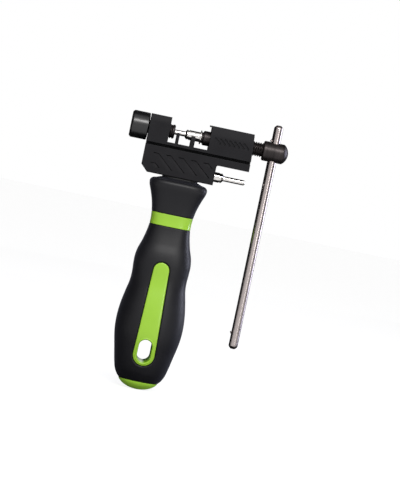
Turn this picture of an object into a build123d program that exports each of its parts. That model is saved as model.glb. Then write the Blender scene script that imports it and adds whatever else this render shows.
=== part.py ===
from build123d import *
import math
import os

# Chain tool: a bicycle chain rivet extractor on a screwdriver-style grip.
#
# Frame: +X along the press axis towards the cross bar, -Y towards the front face, +Z up.
# The origin is where the press axis meets the handle's axis. Millimetres.

os.makedirs("parts", exist_ok=True)

# ---- standard sizes that the tool is built round ----
chain_pitch = 12.7
roller_radius = 3.9
screw_radius = 4.0
running_gap = 0.05
press_gap = 0.02
free_gap = 0.3

# ---- body casting ----
body_depth = 17.5
body_left = -22.1
body_right = 35.6
bay_left = -10.9
bay_right = 11.5
boss_top = 7.5
bay_floor = -6.1
lip_reach = 1.1
lip_thickness = 0.9
groove_top = -7.5
groove_height = 1.7
groove_depth = 1.2
arm_bottom = -13.1
block_right = 17.8
block_bottom = -24.1
block_corner = 3.5
face_break = 3.2
face_lean = 1.3
edge_break = 0.5
inner_fillet = 1.0
nose_room_radius = 4.5

# ---- chain cradles ----
cradle_left = -6.5
cradle_thickness = 1.4
loose_cradle_left = 1.5
loose_cradle_thickness = 2.1
tooth_top = -0.65

# ---- slanted stripes on the block and ribs on the right boss ----
stripe_count = 4
stripe_start = -17.3
stripe_pitch = 6.9
stripe_width = 3.0
stripe_top = -12.9
stripe_height = 7.9
stripe_shift = 9.1
stripe_depth = 0.5
short_stripe_height = 2.4
rib_count = 7
rib_pitch = 2.6
rib_width = 1.1
rib_height = 4.6
rib_centre = (23.6, 0.0)

# ---- press pins and their collars ----
pin_radius = 1.45
pin_reach = 12.4
pin_tip_round = 0.7
pin_seat_depth = 5.0
collar_radius = 2.75
collar_left = -2.1
collar_length = 8.2
collar_groove_inset = 1.2
collar_groove_width = 0.8
collar_groove_depth = 0.3
collar_chamfer = 0.6
shank_radius = 2.0
shank_length = 7.0
disc_radius = 3.8
disc_thickness = 0.6

# ---- press screw and cross bar ----
nose_radius = 3.0
screw_start = 7.6
screw_out = 12.8
barrel_left = 41.0
barrel_length = 14.0
barrel_radius = 5.45
barrel_dome_length = 2.8
barrel_chamfer = 0.5
bar_radius = 2.5
bar_inset = 6.1
bar_top = 15.0
bar_length = 124.4
bar_end_round = 1.2
ear_inset = 9.4
ear_length = 1.6
ear_flat = 0.5
ear_proud = 0.8
ear_width = 2.5

# ---- anvil ----
anvil_face = -7.9
anvil_tip_length = 1.3
anvil_tip_radius = 3.85
anvil_shank_radius = 2.85
anvil_shank_length = 4.0
anvil_bore_radius = 1.75
anvil_bore_depth = 17.0
knob_gap = 0.3
knob_length = 9.8
knob_radius = 7.45
knob_hub_radius = 5.8
knob_hub_length = 0.5
knob_chamfer = 1.0
knob_end_wall = 2.0

# ---- spare pin ----
spare_height = -19.5
spare_show = 5.1
spare_socket_depth = 13.0
ring_radius = 0.6

# ---- handle ----
neck_radius = 9.85
neck_thickness = 0.8
grip_length = 116.6
grip_depth_ratio = 0.80
grip_skin = 2.6
core_gap = 0.15
band_from = 0.166
band_to = 0.224
cap_from = 0.958
flare_radius = 15.9
upper_flank_radius = 12.4
waist_radius = 11.2
rise_radius = 13.15
swell_radius = 15.6
saddle_radius = 15.25
lower_flank_radius = 16.8
belly_radius = 18.55
fall_radius = 16.4
heel_radius = 14.1
cap_radius = 10.8
flare_share = 0.030
upper_flank_share = 0.115
waist_share = 0.202
rise_share = 0.305
swell_share = 0.387
saddle_share = 0.464
lower_flank_share = 0.560
belly_share = 0.683
fall_share = 0.822
heel_share = 0.912
flare_direction = (0, -1)
heel_direction = (-1, -1)
grip_shoulder = 2.0
shoulder_drop = 1.4
shoulder_crown = 0.3

# ---- tang ----
tang_radius = 4.0
tang_grip = 11.0
tang_stop = 14.0
insert_radius = 6.0
insert_length = 18.0

# ---- inlays and hang hole ----
inlay_top_radius = 4.3
inlay_bottom_radius = 5.9
inlay_length = 56.9
inlay_end = 14.1
inlay_gap = 0.3
hole_width = 7.6
hole_height = 12.8
hole_drop = 1.6
eyelet_wall = 1.1

# ---- worked out from the sizes above ----
half_depth = body_depth / 2
cut_reach = 2 * belly_radius
bore_radius = screw_radius + running_gap
loose_seat_radius = screw_radius + free_gap
disc_left = collar_left + collar_length
bar_x = barrel_left + bar_inset
bar_bottom = bar_top - bar_length
anvil_screw_front = anvil_face - anvil_tip_length - running_gap
knob_right = body_left - knob_gap
knob_left = knob_right - knob_length
spare_collar_right = block_right + spare_show
spare_collar_left = block_right - spare_socket_depth + free_gap
neck_bottom = block_bottom - neck_thickness
grip_bottom = neck_bottom - grip_length
inlay_bottom = grip_bottom + inlay_end
inlay_bottom_centre = inlay_bottom + inlay_bottom_radius
inlay_top_centre = inlay_bottom + inlay_length - inlay_top_radius
hole_centre = inlay_bottom + hole_drop + hole_height / 2
tang_bottom = hole_centre + hole_height / 2 + tang_stop
press_line = Plane.YZ
front_face = Plane.XZ.offset(half_depth)
back_face = Plane.XZ.offset(-half_depth)


def along_grip(share):
    # height of a station on the grip, given as its share of the grip's length from the top
    return neck_bottom - share * grip_length


def dome_middle(radius, height):
    # half way along the arc of a ball-shaped end: distance from the axis, and from the tip
    ball = (radius**2 + height**2) / (2 * height)
    half_angle = math.asin(radius / ball) / 2
    return ball * math.sin(half_angle), ball * (1 - math.cos(half_angle))


def finish_part(name, piece):
    piece.part.label = name
    export_step(piece.part, f"parts/{name}.step")
    print(f"{name}: {len(piece.part.solids())} solid, {piece.part.volume:.0f} mm3")


# ---- body casting: side profile, trimmed by the end profile ----
with BuildPart() as tool_body:
    with BuildSketch(Plane.XZ):
        with BuildLine():
            Polyline(
                (body_left, boss_top),
                (bay_left, boss_top),
                (bay_left, bay_floor),
                (bay_right, bay_floor),
                (bay_right, boss_top - lip_thickness),
                (bay_right - lip_reach, boss_top - lip_thickness),
                (bay_right - lip_reach, boss_top),
                (body_right, boss_top),
                (body_right, arm_bottom),
                (block_right, arm_bottom),
                (block_right, block_bottom),
                (body_left + block_corner, block_bottom),
                (body_left, block_bottom + block_corner),
                close=True,
            )
        make_face()
    extrude(amount=half_depth, both=True)

    inner_corner = tool_body.edges().filter_by(Axis.Y).filter_by_position(Axis.Z, arm_bottom, arm_bottom)
    fillet(inner_corner.sort_by(Axis.X)[0], radius=inner_fillet)

    # the end profile leans the faces in above the break and cuts the long grooves
    with BuildSketch(Plane.YZ.offset(body_left)):
        with BuildLine():
            Polyline(
                (0, block_bottom),
                (half_depth - edge_break, block_bottom),
                (half_depth, block_bottom + edge_break),
                (half_depth, groove_top - groove_height),
                (half_depth - groove_depth, groove_top - groove_height),
                (half_depth - groove_depth, groove_top),
                (half_depth, groove_top),
                (half_depth, face_break),
                (half_depth - face_lean, boss_top - edge_break),
                (half_depth - face_lean - edge_break, boss_top),
                (0, boss_top),
                close=True,
            )
        make_face()
        mirror(about=Plane.YZ)
    extrude(amount=body_right - body_left, mode=Mode.INTERSECT)

    # the two cradles: a thin wall across the bay with a round seat for one roller
    for left, thickness, seat in (
        (cradle_left, cradle_thickness, roller_radius),
        (loose_cradle_left, loose_cradle_thickness, loose_seat_radius),
    ):
        with BuildSketch(Plane.YZ.offset(left)):
            with Locations((0, bay_floor)):
                Rectangle(body_depth, tooth_top - bay_floor, align=(Align.CENTER, Align.MIN))
            with Locations((0, 0), (chain_pitch, 0), (-chain_pitch, 0)):
                Circle(seat, mode=Mode.SUBTRACT)
        extrude(amount=thickness)

    # press screw and anvil screw bores, and the room that the screw's nose draws back into
    with Locations(press_line.offset(body_right)):
        Hole(bore_radius, depth=body_right - bay_right)
    with Locations(press_line.offset(bay_left)):
        Hole(bore_radius, depth=bay_left - body_left)
    nose_room_depth = screw_start + screw_out - bay_right + free_gap
    with BuildSketch(press_line.offset(bay_right)):
        Circle(nose_room_radius)
    extrude(amount=nose_room_depth, mode=Mode.SUBTRACT)

    # socket for the spare pin and hole for the tang
    with BuildSketch(press_line.offset(block_right)):
        with Locations((0, spare_height)):
            Circle(collar_radius + running_gap)
    extrude(amount=-spare_socket_depth, mode=Mode.SUBTRACT)
    with BuildSketch(Plane.XY.offset(block_bottom)):
        Circle(tang_radius + press_gap)
    extrude(amount=tang_grip, mode=Mode.SUBTRACT)

    # slanted stripes on the block and short ribs on the right boss, on both faces
    for face, inwards in ((front_face, -1), (back_face, 1)):
        with BuildSketch(face):
            for index in range(-1, stripe_count + 1):
                # the first stripe shows only its foot and the last one only its head
                above = stripe_height - short_stripe_height if index < 0 else 0
                below = stripe_height - short_stripe_height if index == stripe_count else 0
                slant = stripe_shift / stripe_height
                left = stripe_start + index * stripe_pitch + above * slant
                drop = stripe_height - above - below
                with BuildLine():
                    Polyline(
                        (left, stripe_top - above),
                        (left + stripe_width, stripe_top - above),
                        (left + stripe_width + drop * slant, stripe_top - above - drop),
                        (left + drop * slant, stripe_top - above - drop),
                        close=True,
                    )
                make_face()
            rib_lean = math.degrees(math.atan2(stripe_shift, stripe_height))
            with Locations(rib_centre):
                with GridLocations(rib_pitch, 0, rib_count, 1):
                    SlotOverall(rib_height, rib_width, rotation=90 + rib_lean)
        extrude(amount=inwards * stripe_depth, mode=Mode.SUBTRACT)
finish_part("tool_body", tool_body)

# ---- driving pin, its collar and the disc that keeps it on the screw ----


def make_pin(tip, seat, height):
    # a press pin along X with a rounded tip; seat is its other end
    direction = 1 if tip > seat else -1
    with BuildPart() as pin:
        with BuildSketch(Plane.YZ.offset(seat)):
            with Locations((0, height)):
                Circle(pin_radius)
        extrude(amount=tip - seat)
        tip_edge = pin.edges().filter_by(GeomType.CIRCLE).sort_by(Axis.X)[-1 if direction > 0 else 0]
        fillet(tip_edge, radius=pin_tip_round)
    return pin


def collar_points(front, back, direction):
    # half section of a pin collar: chamfered nose, ring groove, and the pin's blind bore
    groove = front + direction * collar_groove_inset
    groove_end = groove + direction * collar_groove_width
    bore = pin_radius + press_gap
    bore_end = front + direction * (pin_seat_depth + press_gap)
    return [
        (front, bore),
        (front, collar_radius - collar_chamfer),
        (front + direction * collar_chamfer, collar_radius),
        (groove, collar_radius),
        (groove, collar_radius - collar_groove_depth),
        (groove_end, collar_radius - collar_groove_depth),
        (groove_end, collar_radius),
        (back, collar_radius),
        (back, 0),
        (bore_end, 0),
        (bore_end, bore),
    ]


driving_pin = make_pin(collar_left - pin_reach, collar_left + pin_seat_depth, 0)
finish_part("driving_pin", driving_pin)

with BuildPart() as pin_collar:
    with BuildSketch(Plane.XZ):
        with BuildLine():
            Polyline(*collar_points(collar_left, disc_left, 1), close=True)
        make_face()
    revolve(axis=Axis.X)
    with BuildSketch(press_line.offset(disc_left)):
        Circle(shank_radius)
    extrude(amount=shank_length)
finish_part("pin_collar", pin_collar)

with BuildPart() as pin_retaining_disc:
    with BuildSketch(press_line.offset(disc_left)):
        Circle(disc_radius)
        Circle(shank_radius + press_gap, mode=Mode.SUBTRACT)
    extrude(amount=disc_thickness)
finish_part("pin_retaining_disc", pin_retaining_disc)

# ---- press screw with its barrel head ----
barrel_right = barrel_left + barrel_length
nose_left = disc_left + disc_thickness + running_gap
with BuildPart() as spindle_screw:
    with BuildSketch(Plane.XZ):
        with BuildLine():
            Polyline(
                (nose_left, 0),
                (nose_left, nose_radius),
                (screw_start, nose_radius),
                (screw_start, screw_radius - edge_break),
                (screw_start + edge_break, screw_radius),
                (barrel_left, screw_radius),
                (barrel_left, barrel_radius - barrel_chamfer),
                (barrel_left + barrel_chamfer, barrel_radius),
                (barrel_right - barrel_dome_length, barrel_radius),
            )
            dome_out, dome_back = dome_middle(barrel_radius, barrel_dome_length)
            ThreePointArc(
                (barrel_right - barrel_dome_length, barrel_radius),
                (barrel_right - dome_back, dome_out),
                (barrel_right, 0),
            )
            Line((barrel_right, 0), (nose_left, 0))
        make_face()
    revolve(axis=Axis.X)
    with BuildSketch(press_line.offset(nose_left)):
        Circle(shank_radius + running_gap)
    extrude(amount=shank_length + free_gap, mode=Mode.SUBTRACT)
    with BuildSketch():
        with Locations((bar_x, 0)):
            Circle(bar_radius + running_gap)
    extrude(amount=2 * barrel_radius, both=True, mode=Mode.SUBTRACT)
finish_part("spindle_screw", spindle_screw)

# ---- cross bar, with one staked ear near each end ----
with BuildPart() as tommy_bar:
    with BuildSketch(Plane.XY.offset(bar_bottom)):
        with Locations((bar_x, 0)):
            Circle(bar_radius)
    extrude(amount=bar_length)
    fillet(tommy_bar.edges().filter_by(GeomType.CIRCLE), radius=bar_end_round)
    with BuildSketch(Plane.XZ):
        ear_left = bar_x - bar_radius - ear_proud
        for inner, direction in ((bar_top - ear_inset, 1), (bar_bottom + ear_inset, -1)):
            with BuildLine():
                Polyline(
                    (bar_x, inner),
                    (ear_left, inner),
                    (ear_left, inner + direction * ear_flat),
                    (bar_x - bar_radius, inner + direction * ear_length),
                    (bar_x, inner + direction * ear_length),
                    close=True,
                )
            make_face()
    extrude(amount=ear_width / 2, both=True)
finish_part("tommy_bar", tommy_bar)

# ---- anvil: hollow tip that doesn't turn, screw and knob ----
with BuildPart() as anvil_nose:
    with BuildSketch(Plane.XZ):
        with BuildLine():
            Polyline(
                (anvil_face, anvil_bore_radius),
                (anvil_face, anvil_tip_radius - edge_break),
                (anvil_face - edge_break, anvil_tip_radius),
                (anvil_face - anvil_tip_length, anvil_tip_radius),
                (anvil_face - anvil_tip_length, anvil_shank_radius),
                (anvil_face - anvil_tip_length - anvil_shank_length, anvil_shank_radius),
                (anvil_face - anvil_tip_length - anvil_shank_length, anvil_bore_radius),
                close=True,
            )
        make_face()
    revolve(axis=Axis.X)
finish_part("anvil_nose", anvil_nose)

with BuildPart() as anvil_screw:
    with BuildSketch(press_line.offset(anvil_screw_front)):
        Circle(screw_radius)
    extrude(amount=knob_left + knob_end_wall - anvil_screw_front)
    chamfer(anvil_screw.edges().sort_by(Axis.X)[-1], length=edge_break)
    with BuildSketch(press_line.offset(anvil_screw_front)):
        Circle(anvil_shank_radius + running_gap)
    extrude(amount=-anvil_shank_length - free_gap, mode=Mode.SUBTRACT)
    with BuildSketch(press_line.offset(anvil_screw_front)):
        Circle(anvil_bore_radius)
    extrude(amount=-anvil_bore_depth, mode=Mode.SUBTRACT)
finish_part("anvil_screw", anvil_screw)

with BuildPart() as anvil_knob:
    with BuildSketch(Plane.XZ):
        bore = screw_radius + press_gap
        with BuildLine():
            Polyline(
                (knob_left, 0),
                (knob_left, knob_radius - knob_chamfer),
                (knob_left + knob_chamfer, knob_radius),
                (knob_right - knob_hub_length - knob_chamfer, knob_radius),
                (knob_right - knob_hub_length, knob_radius - knob_chamfer),
                (knob_right - knob_hub_length, knob_hub_radius),
                (knob_right, knob_hub_radius),
                (knob_right, bore),
                (knob_left + knob_end_wall - press_gap, bore),
                (knob_left + knob_end_wall - press_gap, 0),
                close=True,
            )
        make_face()
    revolve(axis=Axis.X)
finish_part("anvil_knob", anvil_knob)

# ---- spare pin, stored in the block ----
spare_pin = make_pin(spare_collar_right + pin_reach, spare_collar_right - pin_seat_depth, spare_height)
finish_part("spare_pin", spare_pin)

ring_x = (spare_collar_left + block_right) / 2
ring_seat = collar_radius - 2 * ring_radius
with BuildPart() as spare_pin_collar:
    with BuildSketch(Plane.XZ):
        with BuildLine():
            Polyline(*collar_points(spare_collar_right, spare_collar_left, -1), close=True)
        make_face()
        with Locations((ring_x, (collar_radius + ring_seat) / 2)):
            ring_groove_depth = collar_radius - ring_seat
            Rectangle(2 * ring_radius + 2 * running_gap, ring_groove_depth, mode=Mode.SUBTRACT)
    revolve(axis=Axis.X)
    add(spare_pin_collar.part.moved(Location((0, 0, spare_height))), mode=Mode.REPLACE)
finish_part("spare_pin_collar", spare_pin_collar)

with BuildPart() as spare_pin_o_ring:
    with Locations(Location((ring_x, 0, spare_height), (0, 90, 0))):
        Torus(ring_seat + ring_radius + press_gap / 2, ring_radius - press_gap)
finish_part("spare_pin_o_ring", spare_pin_o_ring)

# ---- handle: one turned outline, cut into its pieces while round, then flattened ----
grip_curve = [
    (flare_radius, flare_share),
    (upper_flank_radius, upper_flank_share),
    (waist_radius, waist_share),
    (rise_radius, rise_share),
    (swell_radius, swell_share),
    (saddle_radius, saddle_share),
    (lower_flank_radius, lower_flank_share),
    (belly_radius, belly_share),
    (fall_radius, fall_share),
    (heel_radius, heel_share),
    (cap_radius, cap_from),
]
band_top = along_grip(band_from)
band_bottom = along_grip(band_to)
seam = along_grip(cap_from)

with BuildSketch() as grip_section:
    with BuildLine():
        outline = [(radius, along_grip(share)) for radius, share in grip_curve]
        side = Spline(outline, tangents=[flare_direction, heel_direction])
        cap_out, cap_up = dome_middle(cap_radius, seam - grip_bottom)
        ThreePointArc(side @ 1, (cap_out, grip_bottom + cap_up), (0, grip_bottom))
        Line((0, grip_bottom), (0, neck_bottom))
        Line((0, neck_bottom), (neck_radius, neck_bottom))
        shoulder = (flare_radius - grip_shoulder, neck_bottom - shoulder_drop)
        Line((neck_radius, neck_bottom), shoulder)
        shoulder_height = neck_bottom - shoulder_drop
        flare_height = along_grip(flare_share)
        shoulder_middle = flare_radius - shoulder_crown * grip_shoulder
        ThreePointArc(shoulder, (shoulder_middle, (shoulder_height + flare_height) / 2), side @ 0)
    make_face()


def inner_section(inset):
    # half section of what lies inside the skins, its side drawn in from the grip's by inset
    with BuildSketch() as section:
        with BuildLine():
            points = [(radius - inset, along_grip(share)) for radius, share in grip_curve]
            inner_side = Spline(points, tangents=[flare_direction, heel_direction])
            Polyline(inner_side @ 0, (0, along_grip(flare_share)), (0, seam), inner_side @ 1)
        make_face()
    return section.sketch


skin_hollow = inner_section(grip_skin)
core_section = inner_section(grip_skin + core_gap)


def slab(low, high):
    # keeps only the part of a half section between two heights
    with Locations((0, (low + high) / 2)):
        Rectangle(4 * belly_radius, high - low, mode=Mode.INTERSECT)


def inlay_outline(gap):
    # the long teardrop of the inlays: two circles and the tangents between them
    with Locations((0, inlay_top_centre)):
        Circle(inlay_top_radius + gap)
    with Locations((0, inlay_bottom_centre)):
        Circle(inlay_bottom_radius + gap)
    make_hull()


def hang_slot(wall, mode):
    with Locations((0, hole_centre)):
        SlotOverall(hole_height + 2 * wall, hole_width + 2 * wall, rotation=90, mode=mode)


with BuildPart() as neck_washer:
    with BuildSketch(Plane.XY.offset(neck_bottom)):
        Ellipse(neck_radius, neck_radius * grip_depth_ratio)
        Circle(tang_radius + running_gap, mode=Mode.SUBTRACT)
    extrude(amount=neck_thickness)
finish_part("neck_washer", neck_washer)

# ---- tang: a stud screwed into the block, held in the core by a moulded-in insert ----
with BuildPart() as tang_stud:
    with BuildSketch(Plane.XY.offset(tang_bottom)):
        Circle(tang_radius)
    extrude(amount=block_bottom + tang_grip - press_gap - tang_bottom)
    chamfer(tang_stud.edges().filter_by(GeomType.CIRCLE), length=edge_break)
finish_part("tang_stud", tang_stud)

insert_bottom = tang_bottom + edge_break
with BuildPart() as tang_insert:
    with BuildSketch(Plane.XY.offset(insert_bottom)):
        Circle(insert_radius)
        Circle(tang_radius + press_gap, mode=Mode.SUBTRACT)
    extrude(amount=insert_length)
finish_part("tang_insert", tang_insert)

with BuildPart() as handle_core:
    with BuildSketch(Plane.XZ):
        add(core_section)
    revolve(axis=Axis.Z)
    with BuildSketch(Plane.XZ):
        hang_slot(eyelet_wall + press_gap, Mode.ADD)
    extrude(amount=cut_reach, both=True, mode=Mode.SUBTRACT)
    scale(by=(1, grip_depth_ratio, 1))
    with BuildSketch(Plane.XY.offset(tang_bottom - press_gap)):
        Circle(tang_radius + press_gap)
    extrude(amount=grip_length, mode=Mode.SUBTRACT)
    with BuildSketch(Plane.XY.offset(insert_bottom - press_gap)):
        Circle(insert_radius + press_gap)
    extrude(amount=insert_length + 2 * press_gap, mode=Mode.SUBTRACT)
finish_part("handle_core", handle_core)

# ---- rubber above and below the band, and the hard band and cap ----
with BuildPart() as grip_collar:
    with BuildSketch(Plane.XZ):
        add(grip_section.sketch)
        add(skin_hollow, mode=Mode.SUBTRACT)
        slab(band_top, neck_bottom)
    revolve(axis=Axis.Z)
    scale(by=(1, grip_depth_ratio, 1))
    with BuildSketch(Plane.XY.offset(neck_bottom)):
        Circle(tang_radius + press_gap)
    extrude(amount=-grip_length, mode=Mode.SUBTRACT)
finish_part("grip_collar", grip_collar)

with BuildPart() as accent_band:
    with BuildSketch(Plane.XZ):
        add(grip_section.sketch)
        add(skin_hollow, mode=Mode.SUBTRACT)
        slab(band_bottom, band_top)
    revolve(axis=Axis.Z)
    scale(by=(1, grip_depth_ratio, 1))
finish_part("accent_band", accent_band)

with BuildPart() as grip_sleeve:
    with BuildSketch(Plane.XZ):
        add(grip_section.sketch)
        add(skin_hollow, mode=Mode.SUBTRACT)
        slab(seam, band_bottom)
    revolve(axis=Axis.Z)
    with BuildSketch(Plane.XZ):
        inlay_outline(inlay_gap)
    extrude(amount=cut_reach, both=True, mode=Mode.SUBTRACT)
    scale(by=(1, grip_depth_ratio, 1))
finish_part("grip_sleeve", grip_sleeve)

with BuildPart() as end_cap:
    with BuildSketch(Plane.XZ):
        add(grip_section.sketch)
        slab(grip_bottom, seam)
    revolve(axis=Axis.Z)
    scale(by=(1, grip_depth_ratio, 1))
finish_part("end_cap", end_cap)

# ---- inlays front and rear, and the eyelet that lines the hang hole ----
for name, outwards in (("front_inlay", 1), ("rear_inlay", -1)):
    with BuildPart() as inlay:
        with BuildSketch(Plane.XZ):
            add(grip_section.sketch)
            add(skin_hollow, mode=Mode.SUBTRACT)
            slab(seam, band_bottom)
        revolve(axis=Axis.Z)
        with BuildSketch(Plane.XZ):
            inlay_outline(0)
            hang_slot(eyelet_wall + press_gap, Mode.SUBTRACT)
        extrude(amount=outwards * cut_reach, mode=Mode.INTERSECT)
        scale(by=(1, grip_depth_ratio, 1))
    finish_part(name, inlay)

with BuildPart() as hang_eyelet:
    with BuildSketch(Plane.XZ):
        add(grip_section.sketch)
        slab(seam, band_bottom)
    revolve(axis=Axis.Z)
    with BuildSketch(Plane.XZ):
        hang_slot(eyelet_wall, Mode.ADD)
        hang_slot(0, Mode.SUBTRACT)
    extrude(amount=cut_reach, both=True, mode=Mode.INTERSECT)
    scale(by=(1, grip_depth_ratio, 1))
finish_part("hang_eyelet", hang_eyelet)
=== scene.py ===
from math import asin, atan, cos, pi, radians, sin, tan
import bmesh
import bpy
from mathutils import Matrix, Vector


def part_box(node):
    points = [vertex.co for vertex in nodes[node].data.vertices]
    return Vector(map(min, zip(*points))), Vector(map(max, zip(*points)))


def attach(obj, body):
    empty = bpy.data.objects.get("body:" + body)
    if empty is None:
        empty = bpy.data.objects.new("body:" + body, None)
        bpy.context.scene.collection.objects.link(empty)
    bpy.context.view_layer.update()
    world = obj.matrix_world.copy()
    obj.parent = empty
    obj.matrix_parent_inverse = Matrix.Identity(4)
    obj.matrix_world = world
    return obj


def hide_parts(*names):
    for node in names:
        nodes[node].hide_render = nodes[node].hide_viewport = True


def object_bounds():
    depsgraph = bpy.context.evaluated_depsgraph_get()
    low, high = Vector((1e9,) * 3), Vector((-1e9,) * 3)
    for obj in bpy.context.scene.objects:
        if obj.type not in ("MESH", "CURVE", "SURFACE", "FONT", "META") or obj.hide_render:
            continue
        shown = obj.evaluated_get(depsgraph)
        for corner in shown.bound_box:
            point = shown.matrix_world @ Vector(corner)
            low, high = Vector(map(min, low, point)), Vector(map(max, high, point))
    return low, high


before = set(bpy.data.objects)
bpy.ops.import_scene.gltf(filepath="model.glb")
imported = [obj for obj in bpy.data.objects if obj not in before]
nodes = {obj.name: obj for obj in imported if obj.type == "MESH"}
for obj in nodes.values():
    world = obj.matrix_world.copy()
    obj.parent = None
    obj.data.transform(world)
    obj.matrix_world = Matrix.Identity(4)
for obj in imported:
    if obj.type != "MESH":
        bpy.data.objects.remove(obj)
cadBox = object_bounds()
mm = 0.001
print("chain tool: frame loaded,", len(nodes), "nodes")


# camera: a long lens in front of the tool, rolled so that the tool leans to the right
cameraSettings = {
    "target": (18.7, 0.0, -60.1),    # mm, middle of the view
    "distance": 1500.0,              # mm
    "tallView": 272.5,               # mm of the target plane from top to bottom
    "fromLeft": 2.4,                 # degrees
    "fromAbove": 2.5,
    "roll": 11.85,
}


def addCamera(s):
    side, up = radians(s["fromLeft"]), radians(s["fromAbove"])
    target = Vector(s["target"]) * mm
    back = Vector((-sin(side) * cos(up), -cos(side) * cos(up), sin(up)))
    lens = bpy.data.cameras.new("studioCamera")
    lens.angle = 2 * atan(s["tallView"] / 2 / s["distance"])
    lens.clip_end = 20
    camera = newPiece("studioCamera", lens)
    roll = Matrix.Rotation(radians(s["roll"]), 4, "Z")
    camera.matrix_world = turnTo(target + back * s["distance"] * mm, back) @ roll
    bpy.context.scene.camera = camera


# lamps: place and size in metres, power in watts, all aimed at the middle of the tool
lampSettings = {
    "keyBox": {
        "place": (0.12, -1.1, 0.78), "size": (0.75, 0.28), "power": 14.5, "colour": (1.0, 0.985, 0.97)},
    "frontStrip": {
        "place": (0.7, -1.35, 0.12), "size": (0.16, 1.2), "power": 5.0, "colour": (1.0, 0.99, 0.98)},
    "rightRim": {
        "place": (0.95, 0.3, 0.02), "size": (0.34, 0.95), "power": 9.5, "colour": (0.72, 0.75, 1.0)},
}
worldSettings = {"fill": 0.38, "shown": 1.0}
floorSettings = {"halfSize": 3.0, "colour": (0.3, 0.3, 0.3, 1), "lift": 0.84}
# dark cards that only reflections see
cardSettings = {
    "leftCard": {"place": (-0.75, 0.1, 0.0), "facing": (1, 0, 0), "size": (1.5, 1.3)},
    "backLeftCard": {"place": (-0.45, 0.9, 0.1), "facing": (0.5, -1, 0), "size": (1.0, 1.5)},
    "backRightCard": {"place": (0.6, 1.0, 0.1), "facing": (-0.5, -1, 0), "size": (0.8, 1.5)},
    "rightCard": {
        "place": (1.15, -0.5, 0.0), "facing": (-1, 0.3, 0), "size": (0.9, 1.4), "grey": 0.12},
    "topCard": {"place": (0.0, 0.5, 0.8), "facing": (0, -0.2, -1), "size": (1.8, 1.2)},
    "lowCard": {"place": (0.0, 0.34, -0.1408), "facing": (0, 0, 1), "size": (2.0, 0.8)},
}
cardGrey = 0.02


def newPiece(name, mesh):
    piece = bpy.data.objects.new(name, mesh)
    bpy.context.scene.collection.objects.link(piece)
    return piece


def turnTo(place, direction):
    return Matrix.Translation(place) @ direction.to_track_quat("Z", "Y").to_matrix().to_4x4()


def addNode(tree, kind, inputs, **settings):
    # settings come first, then each input gets its value or its link
    node = tree.nodes.new(kind)
    for name, value in settings.items():
        setattr(node, name, value)
    for name, value in inputs.items():
        if isinstance(value, bpy.types.NodeSocket):
            tree.links.new(value, node.inputs[name])
        else:
            node.inputs[name].default_value = value
    return node


def mathNode(tree, operation, *values):
    return addNode(tree, "ShaderNodeMath", dict(enumerate(values)), operation=operation).outputs[0]


def addLamps(settings):
    aim = Vector(cameraSettings["target"]) * mm
    for name, s in settings.items():
        lamp = bpy.data.lights.new(name, "AREA")
        lamp.shape = "RECTANGLE"
        lamp.size, lamp.size_y = s["size"]
        lamp.energy = s["power"]
        lamp.color = s["colour"]
        place = Vector(s["place"])
        newPiece(name, lamp).matrix_world = turnTo(place, place - aim)


def seenRays(tree):
    # one where a camera, glossy or transmission ray looks at it
    path = tree.nodes.new("ShaderNodeLightPath").outputs
    seen = mathNode(tree, "MAXIMUM", path["Is Camera Ray"], path["Is Glossy Ray"])
    return mathNode(tree, "MAXIMUM", seen, path["Is Transmission Ray"])


def addWorld(s):
    world = bpy.data.worlds.new("studioWorld")
    world.use_nodes = True
    tree = world.node_tree
    tree.nodes.clear()
    fill = addNode(tree, "ShaderNodeBackground", {"Strength": s["fill"]})
    shown = addNode(tree, "ShaderNodeBackground", {"Color": (1, 1, 1, 1), "Strength": s["shown"]})
    mix = addNode(tree, "ShaderNodeMixShader", {0: seenRays(tree), 1: fill.outputs[0], 2: shown.outputs[0]})
    addNode(tree, "ShaderNodeOutputWorld", {0: mix.outputs[0]})
    bpy.context.scene.world = world


def startMaterial(name, values):
    material = bpy.data.materials.new(name)
    material.use_nodes = True
    shader = material.node_tree.nodes["Principled BSDF"]
    for socket, value in values.items():
        shader.inputs[socket].default_value = value
    return material, material.node_tree, shader


def addFloor(s):
    low = cadBox[0][2]
    half = s["halfSize"]
    mesh = bpy.data.meshes.new("studioFloor")
    corners = [(-half, -half, low), (half, -half, low), (half, half, low), (-half, half, low)]
    mesh.from_pydata(corners, [], [(0, 1, 2, 3)])
    material, tree, shader = startMaterial("studioFloor", {
        "Base Color": s["colour"], "Roughness": 0.9, "Specular IOR Level": 0.1})
    strength = mathNode(tree, "MULTIPLY", seenRays(tree), s["lift"])
    glow = addNode(tree, "ShaderNodeEmission", {"Strength": strength})
    both = addNode(tree, "ShaderNodeAddShader", {0: shader.outputs[0], 1: glow.outputs[0]})
    tree.links.new(both.outputs[0], tree.nodes["Material Output"].inputs["Surface"])
    mesh.materials.append(material)
    floor = newPiece("studioFloor", mesh)


def addCards(settings):
    for name, s in settings.items():
        grey = s.get("grey", cardGrey)
        wide, high = s["size"][0] / 2, s["size"][1] / 2
        turn = turnTo(Vector(s["place"]), Vector(s["facing"]))
        corners = ((-wide, -high), (wide, -high), (wide, high), (-wide, high))
        mesh = bpy.data.meshes.new(name)
        mesh.from_pydata([tuple(turn @ Vector((x, y, 0))) for x, y in corners], [], [(0, 1, 2, 3)])
        matt = {"Base Color": (grey, grey, grey, 1), "Roughness": 1.0, "Specular IOR Level": 0.0}
        mesh.materials.append(startMaterial(name, matt)[0])
        card = newPiece(name, mesh)
        card.visible_camera = False
        card.visible_diffuse = False
        card.visible_shadow = False
        card.visible_transmission = False


addCamera(cameraSettings)
addLamps(lampSettings)
addCards(cardSettings)
addWorld(worldSettings)
addFloor(floorSettings)
bpy.context.scene.view_settings.view_transform = "Standard"
print("chain tool: camera, lamps and floor placed")


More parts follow.
